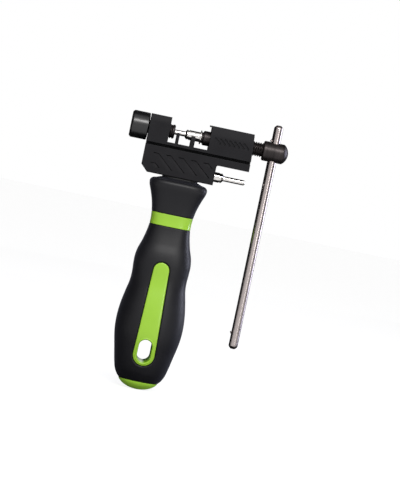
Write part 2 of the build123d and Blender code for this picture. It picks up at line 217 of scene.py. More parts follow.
# ---- shader groups that several materials share
def newGroup(name, inputs, outputs):
    group = bpy.data.node_groups.new(name, "ShaderNodeTree")
    for label, value in inputs:
        socket = group.interface.new_socket(label, in_out="INPUT", socket_type="NodeSocketFloat")
        socket.default_value = value
    for label in outputs:
        group.interface.new_socket(label, in_out="OUTPUT", socket_type="NodeSocketFloat")
    return group, group.nodes.new("NodeGroupInput").outputs, group.nodes.new("NodeGroupOutput").inputs


def objectPlace(tree):
    return tree.nodes.new("ShaderNodeTexCoord").outputs["Object"]


def noiseNode(tree, vector, scale, detail):
    given = {"Vector": vector, "Scale": scale, "Detail": detail}
    return addNode(tree, "ShaderNodeTexNoise", given).outputs["Fac"]


def buildGrain():
    # fine pebbled grain over a slow mottle
    group, given, out = newGroup("surfaceGrain", [
        ("Grain Scale", 3000), ("Mottle Scale", 60)], ["Grain", "Mottle"])
    place = objectPlace(group)
    fine = noiseNode(group, place, given["Grain Scale"], 2)
    slow = noiseNode(group, place, given["Mottle Scale"], 4)
    group.links.new(fine, out["Grain"])
    group.links.new(slow, out["Mottle"])
    return group


def buildWearAndShade():
    # rubbed edges, where the rounded normal leaves the true one, broken up by noise; and painted shade, a mask
    # that darkens recesses
    group, given, out = newGroup("edgeWearAndPaintedShade", [
        ("Radius", 0.0005), ("Breakup", 400), ("Amount", 1), ("Painted Shade Reach", 0.002)], ["Wear", "Painted Shade"])
    bevel = addNode(group, "ShaderNodeBevel", {"Radius": given["Radius"]}, samples=6)
    true = group.nodes.new("ShaderNodeNewGeometry").outputs["Normal"]
    dot = addNode(group, "ShaderNodeVectorMath", {0: bevel.outputs[0], 1: true}, operation="DOT_PRODUCT")
    away = mathNode(group, "SUBTRACT", 1.0, dot.outputs["Value"])
    sharp = mathNode(group, "MULTIPLY", away, 6.0)
    place = objectPlace(group)
    broken = noiseNode(group, place, given["Breakup"], 3)
    both = mathNode(group, "MULTIPLY", sharp, broken)
    scaled = mathNode(group, "MULTIPLY", both, given["Amount"])
    group.links.new(mathNode(group, "MINIMUM", scaled, 1.0), out["Wear"])
    # painted shade: dark where less than 0.62 of the sky is in sight
    hollow = addNode(group, "ShaderNodeAmbientOcclusion", {"Distance": given["Painted Shade Reach"]}, samples=8)
    closed = mathNode(group, "SUBTRACT", 0.62, hollow.outputs["AO"])
    deep = mathNode(group, "MAXIMUM", mathNode(group, "MULTIPLY", closed, 4.0), 0.0)
    group.links.new(mathNode(group, "MINIMUM", deep, 1.0), out["Painted Shade"])
    return group


def buildDrawn():
    # lines left by drawing or turning: noise stretched along one axis
    group, given, out = newGroup("drawnLines", [
        ("Along X", 1), ("Along Y", 1), ("Along Z", 1), ("Scale", 1000)], ["Lines", "Streaks"])
    place = objectPlace(group)
    stretch = addNode(group, "ShaderNodeCombineXYZ", {axis: given["Along " + axis] for axis in "XYZ"})
    times = addNode(group, "ShaderNodeVectorMath", {0: place, 1: stretch.outputs[0]}, operation="MULTIPLY")
    lines = noiseNode(group, times.outputs[0], given["Scale"], 3)
    wide = mathNode(group, "MULTIPLY", given["Scale"], 0.12)
    streaks = noiseNode(group, times.outputs[0], wide, 2)
    group.links.new(lines, out["Lines"])
    group.links.new(streaks, out["Streaks"])
    return group


grainGroup = buildGrain()
wearAndShadeGroup = buildWearAndShade()
drawnGroup = buildDrawn()


def useGroup(tree, group, values):
    return addNode(tree, "ShaderNodeGroup", values, node_tree=group).outputs


def mixColour(tree, mask, first, second):
    given = {"Factor": mask}
    for index, value in ((6, first), (7, second)):
        given[index] = (*value, 1) if isinstance(value, tuple) else value
    return addNode(tree, "ShaderNodeMix", given, data_type="RGBA").outputs[2]


def rangeNode(tree, noise, low, high):
    # the middle of a noise's values, stretched from low to high
    given = {"Value": noise, "From Min": 0.3, "From Max": 0.7, "To Min": low, "To Max": high}
    return addNode(tree, "ShaderNodeMapRange", given).outputs["Result"]


def bump(tree, shader, height, strength, distance):
    node = addNode(tree, "ShaderNodeBump", {"Strength": strength, "Distance": distance, "Height": height})
    tree.links.new(node.outputs["Normal"], shader.inputs["Normal"])


# the rubbed-edge mask, and the painted-shade mask that darkens recesses
def useWearAndShade(tree, s):
    return useGroup(tree, wearAndShadeGroup, {
        "Radius": s["wearRadius"], "Breakup": s["wearScale"], "Amount": s["wear"],
        "Painted Shade Reach": s.get("paintedShadeReach", 0.0008)})


def coatedMaterial(name, s):
    # paint, plastic or rubber: two close shades, a mottled gloss, grain, paler rubbed edges, and painted shade
    # darkening recesses
    given = {"Metallic": 0.0, "Specular IOR Level": s["specular"], **s.get("extra", {})}
    material, tree, shader = startMaterial(name, given)
    grain = useGroup(tree, grainGroup, {"Grain Scale": s["grainScale"], "Mottle Scale": s["mottleScale"]})
    wear = useWearAndShade(tree, s)
    shade = rangeNode(tree, grain["Mottle"], 0.0, 1.0)
    ground = mixColour(tree, shade, s["dark"], s["light"])
    rubbed = mixColour(tree, wear["Wear"], ground, s["worn"])
    # painted shade: recesses take a darker copy of the dark shade
    deep = tuple(c * s.get("paintedShadeFactor", 0.4) for c in s["dark"])
    tree.links.new(mixColour(tree, wear["Painted Shade"], rubbed, deep), shader.inputs["Base Color"])
    low, high = s["roughness"]
    gloss = rangeNode(tree, grain["Mottle"], low, high)
    dulled = mathNode(tree, "MAXIMUM", gloss, mathNode(tree, "MULTIPLY", wear["Painted Shade"], 0.9))
    tree.links.new(dulled, shader.inputs["Roughness"])
    bump(tree, shader, grain["Grain"], s["bump"], s["bumpDepth"])
    return material


def steelMaterial(name, s):
    # bare or oxidised steel with lines along or round the piece
    given = {"Metallic": s["metallic"], "Specular IOR Level": s["specular"]}
    material, tree, shader = startMaterial(name, given)
    along = dict(zip(("Along X", "Along Y", "Along Z"), s["along"]))
    drawn = useGroup(tree, drawnGroup, {**along, "Scale": s["lineScale"]})
    wear = useWearAndShade(tree, s)
    shade = rangeNode(tree, drawn["Streaks"], 0.0, 1.0)
    ground = mixColour(tree, shade, s["dark"], s["light"])
    tree.links.new(mixColour(tree, wear["Wear"], ground, s["worn"]), shader.inputs["Base Color"])
    low, high = s["roughness"]
    tree.links.new(rangeNode(tree, drawn["Lines"], low, high), shader.inputs["Roughness"])
    bump(tree, shader, drawn["Lines"], s["bump"], s["bumpDepth"])
    return material


# colours are (red, green, blue), roughness is (low, high), radii, depths and sizes are in metres
coatSettings = {
    "castBlack": {
        "dark": (0.0140, 0.0138, 0.0155), "light": (0.0185, 0.0183, 0.0205), "worn": (0.042, 0.042, 0.046),
        "roughness": (0.45, 0.58), "specular": 0.06, "grainScale": 2600, "mottleScale": 90,
        "bump": 0.25, "bumpDepth": 0.00010, "wear": 0.6, "wearRadius": 0.00035, "wearScale": 500,
        # painted shade: the last two values darken the casting's groove and stripe lines to near black
        "paintedShadeFactor": 0.05, "paintedShadeReach": 0.0016},
    "knobBlack": {
        "dark": (0.0050, 0.0050, 0.0056), "light": (0.0072, 0.0072, 0.0080), "worn": (0.035, 0.035, 0.038),
        "roughness": (0.26, 0.33), "specular": 0.5, "grainScale": 3200, "mottleScale": 120,
        "bump": 0.12, "bumpDepth": 0.00006, "wear": 0.5, "wearRadius": 0.0003, "wearScale": 600},
    "gripRubber": {
        "dark": (0.0052, 0.0052, 0.0066), "light": (0.0080, 0.0080, 0.0102), "worn": (0.018, 0.018, 0.022),
        "roughness": (0.40, 0.50), "specular": 0.24, "grainScale": 3600, "mottleScale": 45,
        "bump": 0.3, "bumpDepth": 0.00008, "wear": 0.4, "wearRadius": 0.0005, "wearScale": 350,
        "extra": {"Sheen Weight": 0.12, "Sheen Roughness": 0.4, "Sheen Tint": (0.75, 0.78, 1.0, 1)}},
    "limePlastic": {
        "dark": (0.32, 0.60, 0.035), "light": (0.36, 0.65, 0.045), "worn": (0.47, 0.74, 0.12),
        "roughness": (0.27, 0.34), "specular": 0.5, "mottleScale": 40, "bump": 0.08},
    # the end cap is the same lime plastic, painted about a third lighter to make up for the shade at the grip's
    # foot
    "limeCapPaintedLight": {
        "dark": (0.42, 0.80, 0.055), "light": (0.46, 0.85, 0.065), "worn": (0.52, 0.88, 0.14),
        "roughness": (0.36, 0.46), "specular": 0.35, "mottleScale": 40},
    "ringRubber": {
        "dark": (0.008, 0.008, 0.009), "light": (0.013, 0.013, 0.014), "worn": (0.02, 0.02, 0.02),
        "roughness": (0.5, 0.6), "specular": 0.3, "grainScale": 5000, "mottleScale": 300,
        "bump": 0.2, "bumpDepth": 0.00003, "wear": 0.2, "wearRadius": 0.0002, "wearScale": 900},
    "corePlastic": {
        "dark": (0.012, 0.012, 0.012), "light": (0.02, 0.02, 0.02), "worn": (0.04, 0.04, 0.04),
        "roughness": (0.4, 0.55), "specular": 0.35, "grainScale": 2500, "wear": 0.3},
}
plainCoat = {
    "grainScale": 3000, "mottleScale": 60, "bump": 0.1, "bumpDepth": 0.00005,
    "wear": 0.35, "wearRadius": 0.0004, "wearScale": 300,
}
steelSettings = {
    "oxideSteel": {
        "dark": (0.020, 0.017, 0.017), "light": (0.036, 0.031, 0.031), "worn": (0.10, 0.09, 0.085),
        "metallic": 0.75, "specular": 0.4, "roughness": (0.34, 0.46), "along": (1, 0.12, 0.12),
        "lineScale": 5200, "bump": 0.12, "bumpDepth": 0.00004, "wear": 0.6, "wearScale": 700},
    "barSteel": {
        "dark": (0.33, 0.29, 0.28), "light": (0.41, 0.365, 0.355), "worn": (0.62, 0.58, 0.56),
        "roughness": (0.20, 0.28), "along": (1, 1, 0.03), "lineScale": 3600, "bump": 0.04, "wearScale": 700},
    "brightSteel": {
        "dark": (0.56, 0.54, 0.52), "light": (0.70, 0.68, 0.66), "worn": (0.82, 0.80, 0.78),
        "roughness": (0.09, 0.15), "along": (1, 0.1, 0.1), "lineScale": 6000, "bump": 0.08,
        "wear": 0.4, "wearRadius": 0.0002, "wearScale": 900},
    "turnedBrass": {
        "dark": (0.48, 0.33, 0.12), "light": (0.60, 0.43, 0.17), "worn": (0.7, 0.52, 0.25),
        "roughness": (0.25, 0.4), "along": (0.1, 0.1, 1), "lineScale": 4000, "bump": 0.1,
        "bumpDepth": 0.00004, "wearScale": 500},
}
plainSteel = {"metallic": 1.0, "specular": 0.5, "bumpDepth": 0.00003, "wear": 0.3, "wearRadius": 0.0003}
finishes = {name: coatedMaterial(name, {**plainCoat, **s}) for name, s in coatSettings.items()}
finishes.update({name: steelMaterial(name, {**plainSteel, **s}) for name, s in steelSettings.items()})
print("chain tool: finishes mixed,", len(finishes))


# ---- mesh helpers, sizes in mm
weldDistance = 1e-6    # metres


def plainMesh(piece):
    # the piece's mesh with its modifiers applied; the piece goes
    mesh = bpy.data.meshes.new_from_object(piece.evaluated_get(bpy.context.evaluated_depsgraph_get()))
    bpy.data.objects.remove(piece)
    return mesh


def cleanMesh(mesh):
    work = bmesh.new()
    work.from_mesh(mesh)
    bmesh.ops.remove_doubles(work, verts=work.verts, dist=weldDistance)
    bmesh.ops.dissolve_degenerate(work, dist=weldDistance, edges=work.edges)
    bmesh.ops.recalc_face_normals(work, faces=work.faces)
    work.to_mesh(mesh)
    work.free()


def shade(mesh, angle):
    mesh.shade_smooth()
    mesh.set_sharp_from_angle(angle=radians(angle))


def meshFrom(name, verts, faces, angle=32):
    mesh = bpy.data.meshes.new(name)
    mesh.from_pydata([tuple(c * mm for c in v) for v in verts], [], faces)
    cleanMesh(mesh)
    shade(mesh, angle)
    return mesh


def loftFaces(ringCount, around, closed):
    # quads between rings of equal length; closed joins the last ring to the first
    faces = []
    for ring in range(ringCount if closed else ringCount - 1):
        low, high = ring * around, (ring + 1) % ringCount * around
        for k in range(around):
            after = (k + 1) % around
            faces.append((low + k, low + after, high + after, high + k))
    return faces


def loftMesh(name, rings, closed=False, angle=32):
    verts = [point for ring in rings for point in ring]
    faces = loftFaces(len(rings), len(rings[0]), closed)
    return meshFrom(name, verts, faces, angle)


holdAt = 2.2         # where a holding point stands, in roundings from its corner
holdRoom = 2.86      # the room it needs


def roundCorners(corners, steps=4):
    # corners are (along, out, rounding); a rounded one becomes a small arc with a holding point each side
    points = []
    last = len(corners) - 1
    for index, (along, out, rounding) in enumerate(corners):
        if rounding <= 0 or index in (0, last):
            points.append((along, out))
            continue
        here = Vector((along, out))
        before = Vector(corners[index - 1][:2])
        after = Vector(corners[index + 1][:2])
        inDir, outDir = (before - here), (after - here)
        if inDir.length > holdRoom * rounding:
            points.append(tuple(here + inDir.normalized() * holdAt * rounding))
        start = here + inDir.normalized() * min(rounding, inDir.length / 2)
        end = here + outDir.normalized() * min(rounding, outDir.length / 2)
        for step in range(steps + 1):
            t = step / steps
            points.append(tuple(start * (1 - t) ** 2 + here * 2 * t * (1 - t) + end * t**2))
        if outDir.length > holdRoom * rounding:
            points.append(tuple(here + outDir.normalized() * holdAt * rounding))
    return points


def turnedMesh(name, corners, axisPoint=(0, 0, 0), axis="X", around=96, closed=False):
    # a profile turned about an axis through axisPoint; its first number runs along the axis
    profile = roundCorners(corners)
    rings = []
    for along, out in profile:
        ring = []
        for k in range(around):
            turn = 2 * pi * k / around
            a, b = out * cos(turn), out * sin(turn)
            local = (along, a, b) if axis == "X" else (a, b, along)
            ring.append(tuple(local[i] + axisPoint[i] for i in range(3)))
        rings.append(ring)
    return loftMesh(name, rings, closed)


def joinMeshes(name, meshes, angle=32):
    work = bmesh.new()
    for mesh in meshes:
        work.from_mesh(mesh)
    joined = bpy.data.meshes.new(name)
    work.to_mesh(joined)
    work.free()
    shade(joined, angle)
    return joined


def cutMesh(name, mesh, cutter, angle=32):
    # boolean difference, made a plain mesh
    base, tool = newPiece(name, mesh), newPiece(name + "Cutter", cutter)
    cut = base.modifiers.new("cut", "BOOLEAN")
    cut.object = tool
    cut.solver = "EXACT"
    result = plainMesh(base)
    bpy.data.objects.remove(tool)
    shade(result, angle)
    return result


def finish(name, mesh, finishName, body, slotName, *replaced):
    mesh.materials.clear()
    mesh.materials.append(finishes[finishName])
    for polygon in mesh.polygons:
        polygon.material_index = 0
    piece = newPiece(name, mesh)
    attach(piece, body)
    if replaced:
        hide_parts(*replaced)
    return piece


def boxOf(node):
    low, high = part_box(node)
    return [v / mm for v in low], [v / mm for v in high]


# ---- threads, cut by a geometry nodes tree: a tube of rings whose radius follows a helix
def buildThreadTree():
    tree = bpy.data.node_groups.new("cutThread", "GeometryNodeTree")
    tree.is_modifier = True
    for label, kind in (("Start", "Float"), ("Length", "Float"), ("Major Radius", "Float"), ("Pitch", "Float"),
                        ("Depth", "Float"), ("Rings", "Int"), ("Sides", "Int"), ("Finish", "Material")):
        tree.interface.new_socket(label, in_out="INPUT", socket_type="NodeSocket" + kind)
    tree.interface.new_socket("Geometry", in_out="OUTPUT", socket_type="NodeSocketGeometry")
    given = tree.nodes.new("NodeGroupInput").outputs
    out = tree.nodes.new("NodeGroupOutput")
    grid = addNode(tree, "GeometryNodeMeshGrid", {
        "Size X": 1, "Size Y": 1, "Vertices X": given["Rings"], "Vertices Y": given["Sides"]})
    position = tree.nodes.new("GeometryNodeInputPosition").outputs[0]
    split = addNode(tree, "ShaderNodeSeparateXYZ", {0: position})

    def calc(operation, *values):
        return mathNode(tree, operation, *values)

    lastRing = calc("SUBTRACT", given["Rings"], 1)
    ring = calc("MULTIPLY", calc("ADD", split.outputs["X"], 0.5), lastRing)
    share = calc("DIVIDE", calc("SUBTRACT", ring, 1), calc("SUBTRACT", lastRing, 2))
    share = calc("MINIMUM", calc("MAXIMUM", share, 0), 1)
    along = calc("MULTIPLY", share, given["Length"])
    turn = calc("ADD", split.outputs["Y"], 0.5)
    phase = calc("FRACT", calc("SUBTRACT", calc("DIVIDE", along, given["Pitch"]), turn))
    wave = calc("ABSOLUTE", calc("SUBTRACT", calc("MULTIPLY", phase, 2), 1))
    flank = calc("MINIMUM", calc("MAXIMUM", calc("DIVIDE", calc("SUBTRACT", wave, 0.12), 0.7), 0), 1)
    radius = calc("SUBTRACT", given["Major Radius"], calc("MULTIPLY", flank, given["Depth"]))
    fromEnd = calc("MINIMUM", along, calc("SUBTRACT", given["Length"], along))
    lead = calc("ADD", calc("SUBTRACT", given["Major Radius"], given["Depth"]), fromEnd)
    radius = calc("MINIMUM", radius, lead)
    afterFirst = calc("GREATER_THAN", ring, 0.5)
    beforeLast = calc("LESS_THAN", ring, calc("SUBTRACT", lastRing, 0.5))
    radius = calc("MULTIPLY", radius, calc("MULTIPLY", afterFirst, beforeLast))
    angle = calc("MULTIPLY", turn, 2 * pi)
    place = addNode(tree, "ShaderNodeCombineXYZ", {
        "X": calc("ADD", given["Start"], along),
        "Y": calc("MULTIPLY", radius, calc("COSINE", angle)),
        "Z": calc("MULTIPLY", radius, calc("SINE", angle))})
    move = addNode(tree, "GeometryNodeSetPosition", {
        "Geometry": grid.outputs["Mesh"], "Position": place.outputs[0]})
    weld = addNode(tree, "GeometryNodeMergeByDistance", {
        "Geometry": move.outputs[0], "Distance": weldDistance})
    realize = addNode(tree, "GeometryNodeRealizeInstances", {"Geometry": weld.outputs[0]})
    coat = addNode(tree, "GeometryNodeSetMaterial", {
        "Geometry": realize.outputs[0], "Material": given["Finish"]})
    tree.links.new(coat.outputs[0], out.inputs["Geometry"])
    return tree


threadTree = buildThreadTree()
threadSockets = threadTree.interface.items_tree
threadIds = {item.name: item.identifier for item in threadSockets if item.in_out == "INPUT"}
threadForm = {"pitch": 1.25, "depth": 0.62, "ringsPerTurn": 9, "sides": 65}


def threadMesh(name, start, end, radius, finishName):
    # a right-hand thread along X, in mm, made a plain mesh
    length = end - start
    holder = newPiece(name + "Thread", bpy.data.meshes.new(name + "Thread"))
    cut = holder.modifiers.new("thread", "NODES")
    cut.node_group = threadTree
    values = {"Start": start * mm, "Length": length * mm, "Major Radius": radius * mm,
              "Pitch": threadForm["pitch"] * mm, "Depth": threadForm["depth"] * mm,
              "Rings": int(length / threadForm["pitch"] * threadForm["ringsPerTurn"]) + 4,
              "Sides": threadForm["sides"], "Finish": finishes[finishName]}
    for label, value in values.items():
        cut[threadIds[label]] = value
    mesh = plainMesh(holder)
    cleanMesh(mesh)
    return mesh


# ---- head casting: a welded copy of the CAD mesh, its edges softened and its lines cut
castingSettings = {
    "weld": 2e-6, "flat": 0.6, "edgeRound": 0.22, "edgeAngle": 28, "evenWeight": 80, "faceY": 8.75,
    "grooveLow": -9.12, "grooveHigh": -7.58, "grooveDepth": 3.8,
    "stripes": 4, "stripeStart": -17.3, "stripePitch": 6.9, "stripeWidth": 3.0, "stripeTop": -12.9,
    "stripeHeight": 7.9, "shortHeight": 2.4, "stripeShift": 9.1,
    "lineWidth": 0.4, "lineDepth": 1.3, "headDepth": 0.91, "overlap": 0.04, "mouth": 2.0,
    "leanFrom": -6.0, "lean": 0.9, "leanStart": 33.0,
}


def prismFaces(count):
    # sides and two ends of a prism whose first outline is followed by its second
    sides = [(k, (k + 1) % count, (k + 1) % count + count, k + count) for k in range(count)]
    return sides + [tuple(range(count))[::-1], tuple(range(count, 2 * count))]


def castingCutter(s):
    # deep slots on both faces: the long groove, and the right and top edge of each stripe
    low, high = boxOf("tool_body")
    start, end = low[0] - 1, high[0] + 1
    groove = [(start, s["grooveLow"]), (end, s["grooveLow"]), (end, s["grooveHigh"]), (start, s["grooveHigh"])]
    cuts = [(groove, s["grooveDepth"])]
    slant, line = s["stripeShift"] / s["stripeHeight"], s["lineWidth"]
    missing = s["stripeHeight"] - s["shortHeight"]
    for index in range(-1, s["stripes"] + 1):
        # the first stripe shows only its foot and the last one only its head
        above = missing if index < 0 else 0
        below = missing if index == s["stripes"] else 0
        top, bottom = s["stripeTop"] - above, s["stripeTop"] - s["stripeHeight"] + below
        left = s["stripeStart"] + index * s["stripePitch"] + above * slant + s["overlap"]
        right = left + s["stripeWidth"]
        foot = right + (top - bottom) * slant
        outline = [(right - line, top), (foot - line, bottom), (foot, bottom), (right, top)]
        cuts.append((outline, s["lineDepth"]))
        if index >= 0:
            shift, head = line * slant, right - line - s["overlap"]
            outline = [(left, top), (left + shift, top - line), (head + shift, top - line), (head, top)]
            cuts.append((outline, s["headDepth"]))
    verts, faces = [], []
    for side in (-1, 1):
        for outline, depth in cuts:
            first = len(verts)
            for y in (s["faceY"] - depth, s["faceY"] + s["mouth"]):
                verts += [(x, side * y, z) for x, z in outline]
            faces += [tuple(first + k for k in face) for face in prismFaces(len(outline))]
    work = bpy.data.meshes.new("castingCutter")
    work.from_pydata([tuple(c * mm for c in v) for v in verts], [], faces)
    cleanMesh(work)
    return work


def makeCasting(s):
    mesh = nodes["tool_body"].data.copy()
    work = bmesh.new()
    work.from_mesh(mesh)
    bmesh.ops.remove_doubles(work, verts=work.verts, dist=s["weld"])
    bmesh.ops.dissolve_limit(work, angle_limit=radians(s["flat"]), verts=work.verts, edges=work.edges)
    work.to_mesh(mesh)
    work.free()
    mesh.shade_smooth()
    piece = newPiece("castingWork", mesh)
    soften = piece.modifiers.new("soften", "BEVEL")
    soften.width = s["edgeRound"] * mm
    soften.segments = 2
    soften.limit_method = "ANGLE"
    soften.angle_limit = radians(s["edgeAngle"])
    softened = plainMesh(piece)
    low, high = boxOf("tool_body")
    for vertex in softened.vertices:    # the right end leans in a little towards its top
        x = vertex.co.x / mm
        height = (vertex.co.z / mm - s["leanFrom"]) / (high[2] - s["leanFrom"])
        if x > s["leanStart"] and height > 0:
            vertex.co.x -= s["lean"] * height * mm * (x - s["leanStart"]) / (high[0] - s["leanStart"])
    piece = newPiece("castingWork", cutMesh("castingCut", softened, castingCutter(s), s["edgeAngle"]))
    even = piece.modifiers.new("evenFaces", "WEIGHTED_NORMAL")
    even.keep_sharp = True
    even.weight = s["evenWeight"]
    finish("headCasting", plainMesh(piece), "castBlack", "head", "black_casting", "tool_body")


makeCasting(castingSettings)
print("chain tool: head casting softened")


# ---- press screw: thread, turned nose and barrel, cross hole
spindleSettings = {
    "nose": 3.0, "core": 2.1, "threadStart": 7.6, "plainLength": 4.6, "radius": 4.0, "ease": 0.5,
    "barrelLength": 14.0, "domeLength": 2.8, "domeSteps": 10,
    "holeRadius": 2.58, "chamfer": 0.5,
}


def makeSpindle(s):
    low, high = boxOf("spindle_screw")
    barLow, barHigh = boxOf("tommy_bar")
    barX = barHigh[0] - (barHigh[1] - barLow[1]) / 2
    barrelRadius = high[2]
    barrelStart = high[0] - s["barrelLength"]
    domeStart = high[0] - s["domeLength"]
    core, radius, ease, start = s["core"], s["radius"], s["ease"], s["threadStart"]
    noseEnd = start + 0.4
    nose = turnedMesh("spindleNose", [
        (low[0], core, 0), (low[0], s["nose"], 0.15), (noseEnd, s["nose"], 0.05), (noseEnd, core, 0)],
        closed=True)
    plainEnd = start + s["plainLength"]
    plain = turnedMesh("spindlePlain", [
        (start, core, 0), (start, radius - ease, 0.12), (start + ease, radius, 0.2), (plainEnd, radius, 0.1),
        (plainEnd + 0.3, radius - ease, 0), (plainEnd + 0.3, core, 0)], closed=True)
    thread = threadMesh("spindle", plainEnd, barrelStart + ease, radius, "oxideSteel")
    ball = (barrelRadius**2 + s["domeLength"] ** 2) / (2 * s["domeLength"])
    spread = asin(barrelRadius / ball)
    leans = [spread * (1 - step / s["domeSteps"]) for step in range(1, s["domeSteps"] + 1)]
    dome = [(high[0] - ball * (1 - cos(lean)), ball * sin(lean), 0) for lean in leans]
    barrel = turnedMesh("spindleBarrel", [
        (barrelStart, 0, 0), (barrelStart, barrelRadius - s["chamfer"], 0.12),
        (barrelStart + s["chamfer"], barrelRadius, 0.12), (domeStart, barrelRadius, 0.35)] + dome, around=128)
    upper = [(barrelRadius - 0.5, s["holeRadius"], 0), (barrelRadius + 0.15, s["holeRadius"] + 0.5, 0),
             (9, 4, 0), (9, 0, 0)]
    lower = [(-along, out, 0) for along, out, rounding in reversed(upper)]
    cutter = turnedMesh("crossHole", lower + upper, axisPoint=(barX, 0, 0), axis="Z", around=64)
    barrel = cutMesh("spindleBarrel", barrel, cutter)
    screw = joinMeshes("pressSpindle", [nose, plain, thread, barrel], 40)
    finish("pressSpindle", screw, "oxideSteel", "spindle", "black_steel", "spindle_screw")


makeSpindle(spindleSettings)
print("chain tool: press screw cut")


# ---- cross bar with an ear raised near each end
barSettings = {
    "endRound": 1.3, "earFrom": 9.4, "earLength": 1.7, "earProud": 0.78, "earWidth": 1.1, "earRoot": 0.6,
    "earAround": 12,
    "ear": [     # (share of its length, share of its height, share of its width)
        (0.0, 0.9, 1.0), (0.12, 1.0, 1.0), (0.4, 0.8, 0.85), (0.75, 0.35, 0.55), (1.0, -0.2, 0.3)],
}


def makeBar(s):
    low, high = boxOf("tommy_bar")
    radius = (high[1] - low[1]) / 2
    barX = high[0] - radius
    body = turnedMesh("crossBarRod", [
        (low[2], 0, 0), (low[2], radius - s["endRound"], 0.3), (low[2] + s["endRound"], radius, 0.6),
        (high[2] - s["endRound"], radius, 0.6), (high[2], radius - s["endRound"], 0.3), (high[2], 0, 0)],
        axisPoint=(barX, 0, 0), axis="Z", around=96)
    ears, around = [], s["earAround"]
    for inner, away in ((high[2] - s["earFrom"], 1), (low[2] + s["earFrom"], -1)):
        # the ear rises from its outer end and stops square at its inner one
        rings = []
        for share, proud, width in s["ear"]:
            height = inner + away * share * s["earLength"]
            half = s["earWidth"] * width
            root = radius - s["earRoot"]
            rise = radius + s["earProud"] * proud - root
            ring = []
            for k in range(around):
                turn = 2 * pi * k / around
                ring.append((barX - root - rise * (0.5 + 0.5 * cos(turn)), half * sin(turn), height))
            rings.append(ring)
        tips = [[(sum(p[0] for p in ring) / around, 0, ring[0][2])] * around for ring in (rings[0], rings[-1])]
        ears.append(loftMesh("crossBarEar", [tips[0]] + rings + [tips[1]]))
    bar = joinMeshes("crossBar", [body] + ears, 40)
    finish("crossBar", bar, "barSteel", "cross_bar", "bar_steel", "tommy_bar")


makeBar(barSettings)


# ---- driving pin and spare pin, each with its collar
pinSettings = {
    "tipRound": 0.75, "grooveInset": 1.2, "grooveWidth": 0.8, "grooveDepth": 0.3, "chamfer": 0.95, "shank": 2.0,
}


def makePinSet(pinNode, collarNode, towards, body, s):
    # towards is 1 where the pin points to +X
    pinLow, pinHigh = boxOf(pinNode)
    low, high = boxOf(collarNode)
    radius = (pinHigh[1] - pinLow[1]) / 2
    height = (pinHigh[2] + pinLow[2]) / 2
    tip, root = (pinHigh[0], pinLow[0]) if towards > 0 else (pinLow[0], pinHigh[0])
    pin = turnedMesh(pinNode + "Rod", [
        (root, 0, 0), (root, radius, 0.1), (tip - towards * s["tipRound"], radius, 0.3),
        (tip - towards * 0.15, radius - s["tipRound"], 0.3), (tip, 0, 0)], axisPoint=(0, 0, height), around=64)
    finish(pinNode + "Rod", pin, "brightSteel", body, "bright_steel", pinNode)
    collarRadius = (high[1] - low[1]) / 2
    front = high[0] if towards > 0 else low[0]
    back = front - towards * s.get("length", high[0] - low[0])
    groove = front - towards * s["grooveInset"]
    grooveEnd = groove - towards * s["grooveWidth"]
    corners = [
        (front - towards * 0.6, radius + 0.05, 0), (front, radius + 0.2, 0.08),
        (front, collarRadius - s["chamfer"], 0.15), (front - towards * s["chamfer"], collarRadius, 0.15),
        (groove, collarRadius, 0.1),
        (groove, collarRadius - s["grooveDepth"], 0.06), (grooveEnd, collarRadius - s["grooveDepth"], 0.06),
        (grooveEnd, collarRadius, 0.1), (back, collarRadius, 0.15), (back, radius + 0.05, 0)]
    collar = turnedMesh(collarNode + "Sleeve", corners, axisPoint=(0, 0, height), around=80, closed=True)
    return collar, height


def makeDrivingPin(s):
    discLow, discHigh = boxOf("pin_retaining_disc")
    low, high = boxOf("pin_collar")
    collarOnly = {**s, "length": discLow[0] - low[0]}
    collar = makePinSet("driving_pin", "pin_collar", -1, "ram", collarOnly)[0]
    start, hole = discLow[0] - 0.4, s["shank"] + 0.02
    shank = turnedMesh("collarShank", [
        (start, 0, 0), (start, s["shank"], 0.1), (high[0], s["shank"], 0.2), (high[0], 0, 0)], around=48)
    whole = joinMeshes("pinCollar", [collar, shank])
    finish("pinCollar", whole, "brightSteel", "ram", "bright_steel", "pin_collar")
    disc = turnedMesh("retainingDisc", [
        (discLow[0], hole, 0), (discLow[0], discHigh[1], 0.12), (discHigh[0], discHigh[1], 0.12),
        (discHigh[0], hole, 0)], closed=True)
    finish("retainingDisc", disc, "brightSteel", "ram", "bright_steel", "pin_retaining_disc")


def makeSparePin(s):
    collar, height = makePinSet("spare_pin", "spare_pin_collar", 1, "spare", s)
    finish("spareCollar", collar, "brightSteel", "spare", "bright_steel", "spare_pin_collar")
    low, high = boxOf("spare_pin_o_ring")
    outer = (high[1] - low[1]) / 2
    thick = (high[0] - low[0]) / 2
    middle = (high[0] + low[0]) / 2
    rings = []
    for k in range(64):
        turn = 2 * pi * k / 64
        ring = []
        for j in range(16):
            roll = 2 * pi * j / 16
            out = outer - thick + thick * cos(roll)
            ring.append((middle + thick * sin(roll), out * cos(turn), height + out * sin(turn)))
        rings.append(ring)
    ringMesh = loftMesh("spareRing", rings, closed=True)
    finish("spareRing", ringMesh, "ringRubber", "spare", "black_rubber", "spare_pin_o_ring")


makeDrivingPin(pinSettings)
makeSparePin(pinSettings)
print("chain tool: pins and collars turned")


# ---- anvil: hollow tip, threaded screw, plain knob
anvilSettings = {
    "bore": 1.75, "boreDepth": 17, "tipLength": 1.3, "shank": 2.85, "screwRadius": 4.0,
    "knobHub": 5.8, "hubLength": 0.15, "chamfer": 0.9, "backChamfer": 0.35,
}


